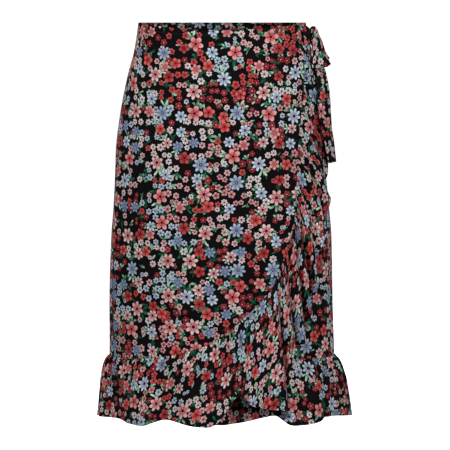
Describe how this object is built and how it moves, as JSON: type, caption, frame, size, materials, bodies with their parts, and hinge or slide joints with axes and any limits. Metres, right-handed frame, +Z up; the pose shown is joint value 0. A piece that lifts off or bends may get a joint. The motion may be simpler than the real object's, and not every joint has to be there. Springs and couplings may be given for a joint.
{
  "type": "wrap skirt",
  "caption": "Knee-length wrap skirt in dark floral cloth, with a gathered ruffle round the hem and up the free front edge, tied in a bow at the side of the waist.",
  "frame": {"origin": "the middle of the waist opening, level with the waist edge at the back", "axes": "+Z up, towards the waist; -Y the front of the skirt, +X the wearer's left, where the bow is tied"},
  "size_m": [0.3982, 0.3311, 0.6103],
  "materials": {
    "printed_cloth": "matt light woven cloth, near black with a dense print of small blue, coral, pink and dark red flowers and green leaves",
    "printed_cloth_ruffle": "the same printed cloth, gathered",
    "printed_cloth_tie": "the same printed cloth, as a turned tie"
  },
  "bodies": {
    "root": {"back_panel": "printed_cloth", "front_overlap": "printed_cloth", "front_underlap": "printed_cloth", "back_hem_ruffle": "printed_cloth_ruffle", "overlap_hem_ruffle": "printed_cloth_ruffle", "overlap_edge_ruffle": "printed_cloth_ruffle", "underlap_hem_ruffle": "printed_cloth_ruffle", "tie_front_strap": "printed_cloth_tie", "tie_back_strap": "printed_cloth_tie", "tie_knot": "printed_cloth_tie", "tie_front_loop": "printed_cloth_tie", "tie_back_loop": "printed_cloth_tie", "tie_front_tail": "printed_cloth_tie", "tie_back_tail": "printed_cloth_tie"}
  },
  "joints": []
}
